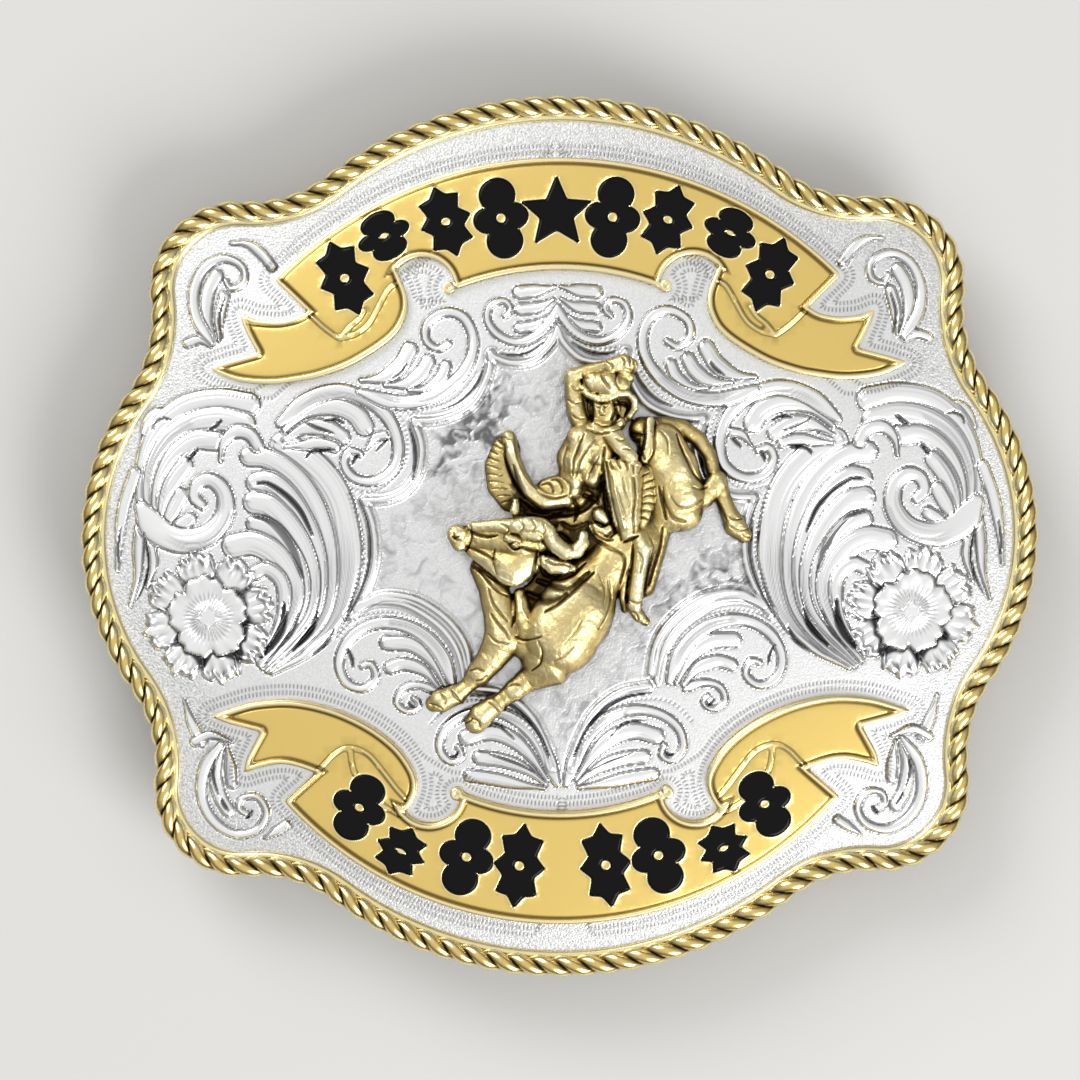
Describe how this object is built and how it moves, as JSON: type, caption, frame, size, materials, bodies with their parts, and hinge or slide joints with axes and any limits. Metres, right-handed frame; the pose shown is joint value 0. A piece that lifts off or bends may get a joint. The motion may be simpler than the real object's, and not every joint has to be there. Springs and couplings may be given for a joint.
{
  "type": "western trophy belt buckle",
  "caption": "Large domed western trophy buckle: silver plate with cast scrollwork, rope edge, two gold ribbons with black enamel ornaments, and a cast bull rider.",
  "frame": {"origin": "middle of the buckle's outline, at the level of the table it lies on with its face up", "axes": "+Z out of the buckle's face, +Y to the top of its picture, +X to the viewer's right"},
  "size_m": [0.102, 0.0936, 0.0179],
  "materials": {
    "silver": "bright silver plate, satin on the cast relief",
    "gold": "satin gold plate with bright rims",
    "cast_gold": "cast, antiqued in the hollows and rubbed bright on the high places",
    "black_enamel": "glossy black enamel",
    "back_brass": "plain polished brass"
  },
  "bodies": {
    "root": {"plate": "silver", "rope_edge": "gold", "top_ribbon": "gold", "bottom_ribbon": "gold", "top_inlay_1": "black_enamel", "top_inlay_2": "black_enamel", "top_inlay_3": "black_enamel", "top_inlay_4": "black_enamel", "top_inlay_5": "black_enamel", "top_inlay_6": "black_enamel", "top_inlay_7": "black_enamel", "top_inlay_8": "black_enamel", "top_inlay_9": "black_enamel", "bottom_inlay_1": "black_enamel", "bottom_inlay_2": "black_enamel", "bottom_inlay_3": "black_enamel", "bottom_inlay_4": "black_enamel", "bottom_inlay_5": "black_enamel", "bottom_inlay_6": "black_enamel", "bottom_inlay_7": "black_enamel", "bottom_inlay_8": "black_enamel", "bull_and_rider": "cast_gold", "belt_loop": "back_brass", "belt_hook": "back_brass"}
  },
  "joints": []
}
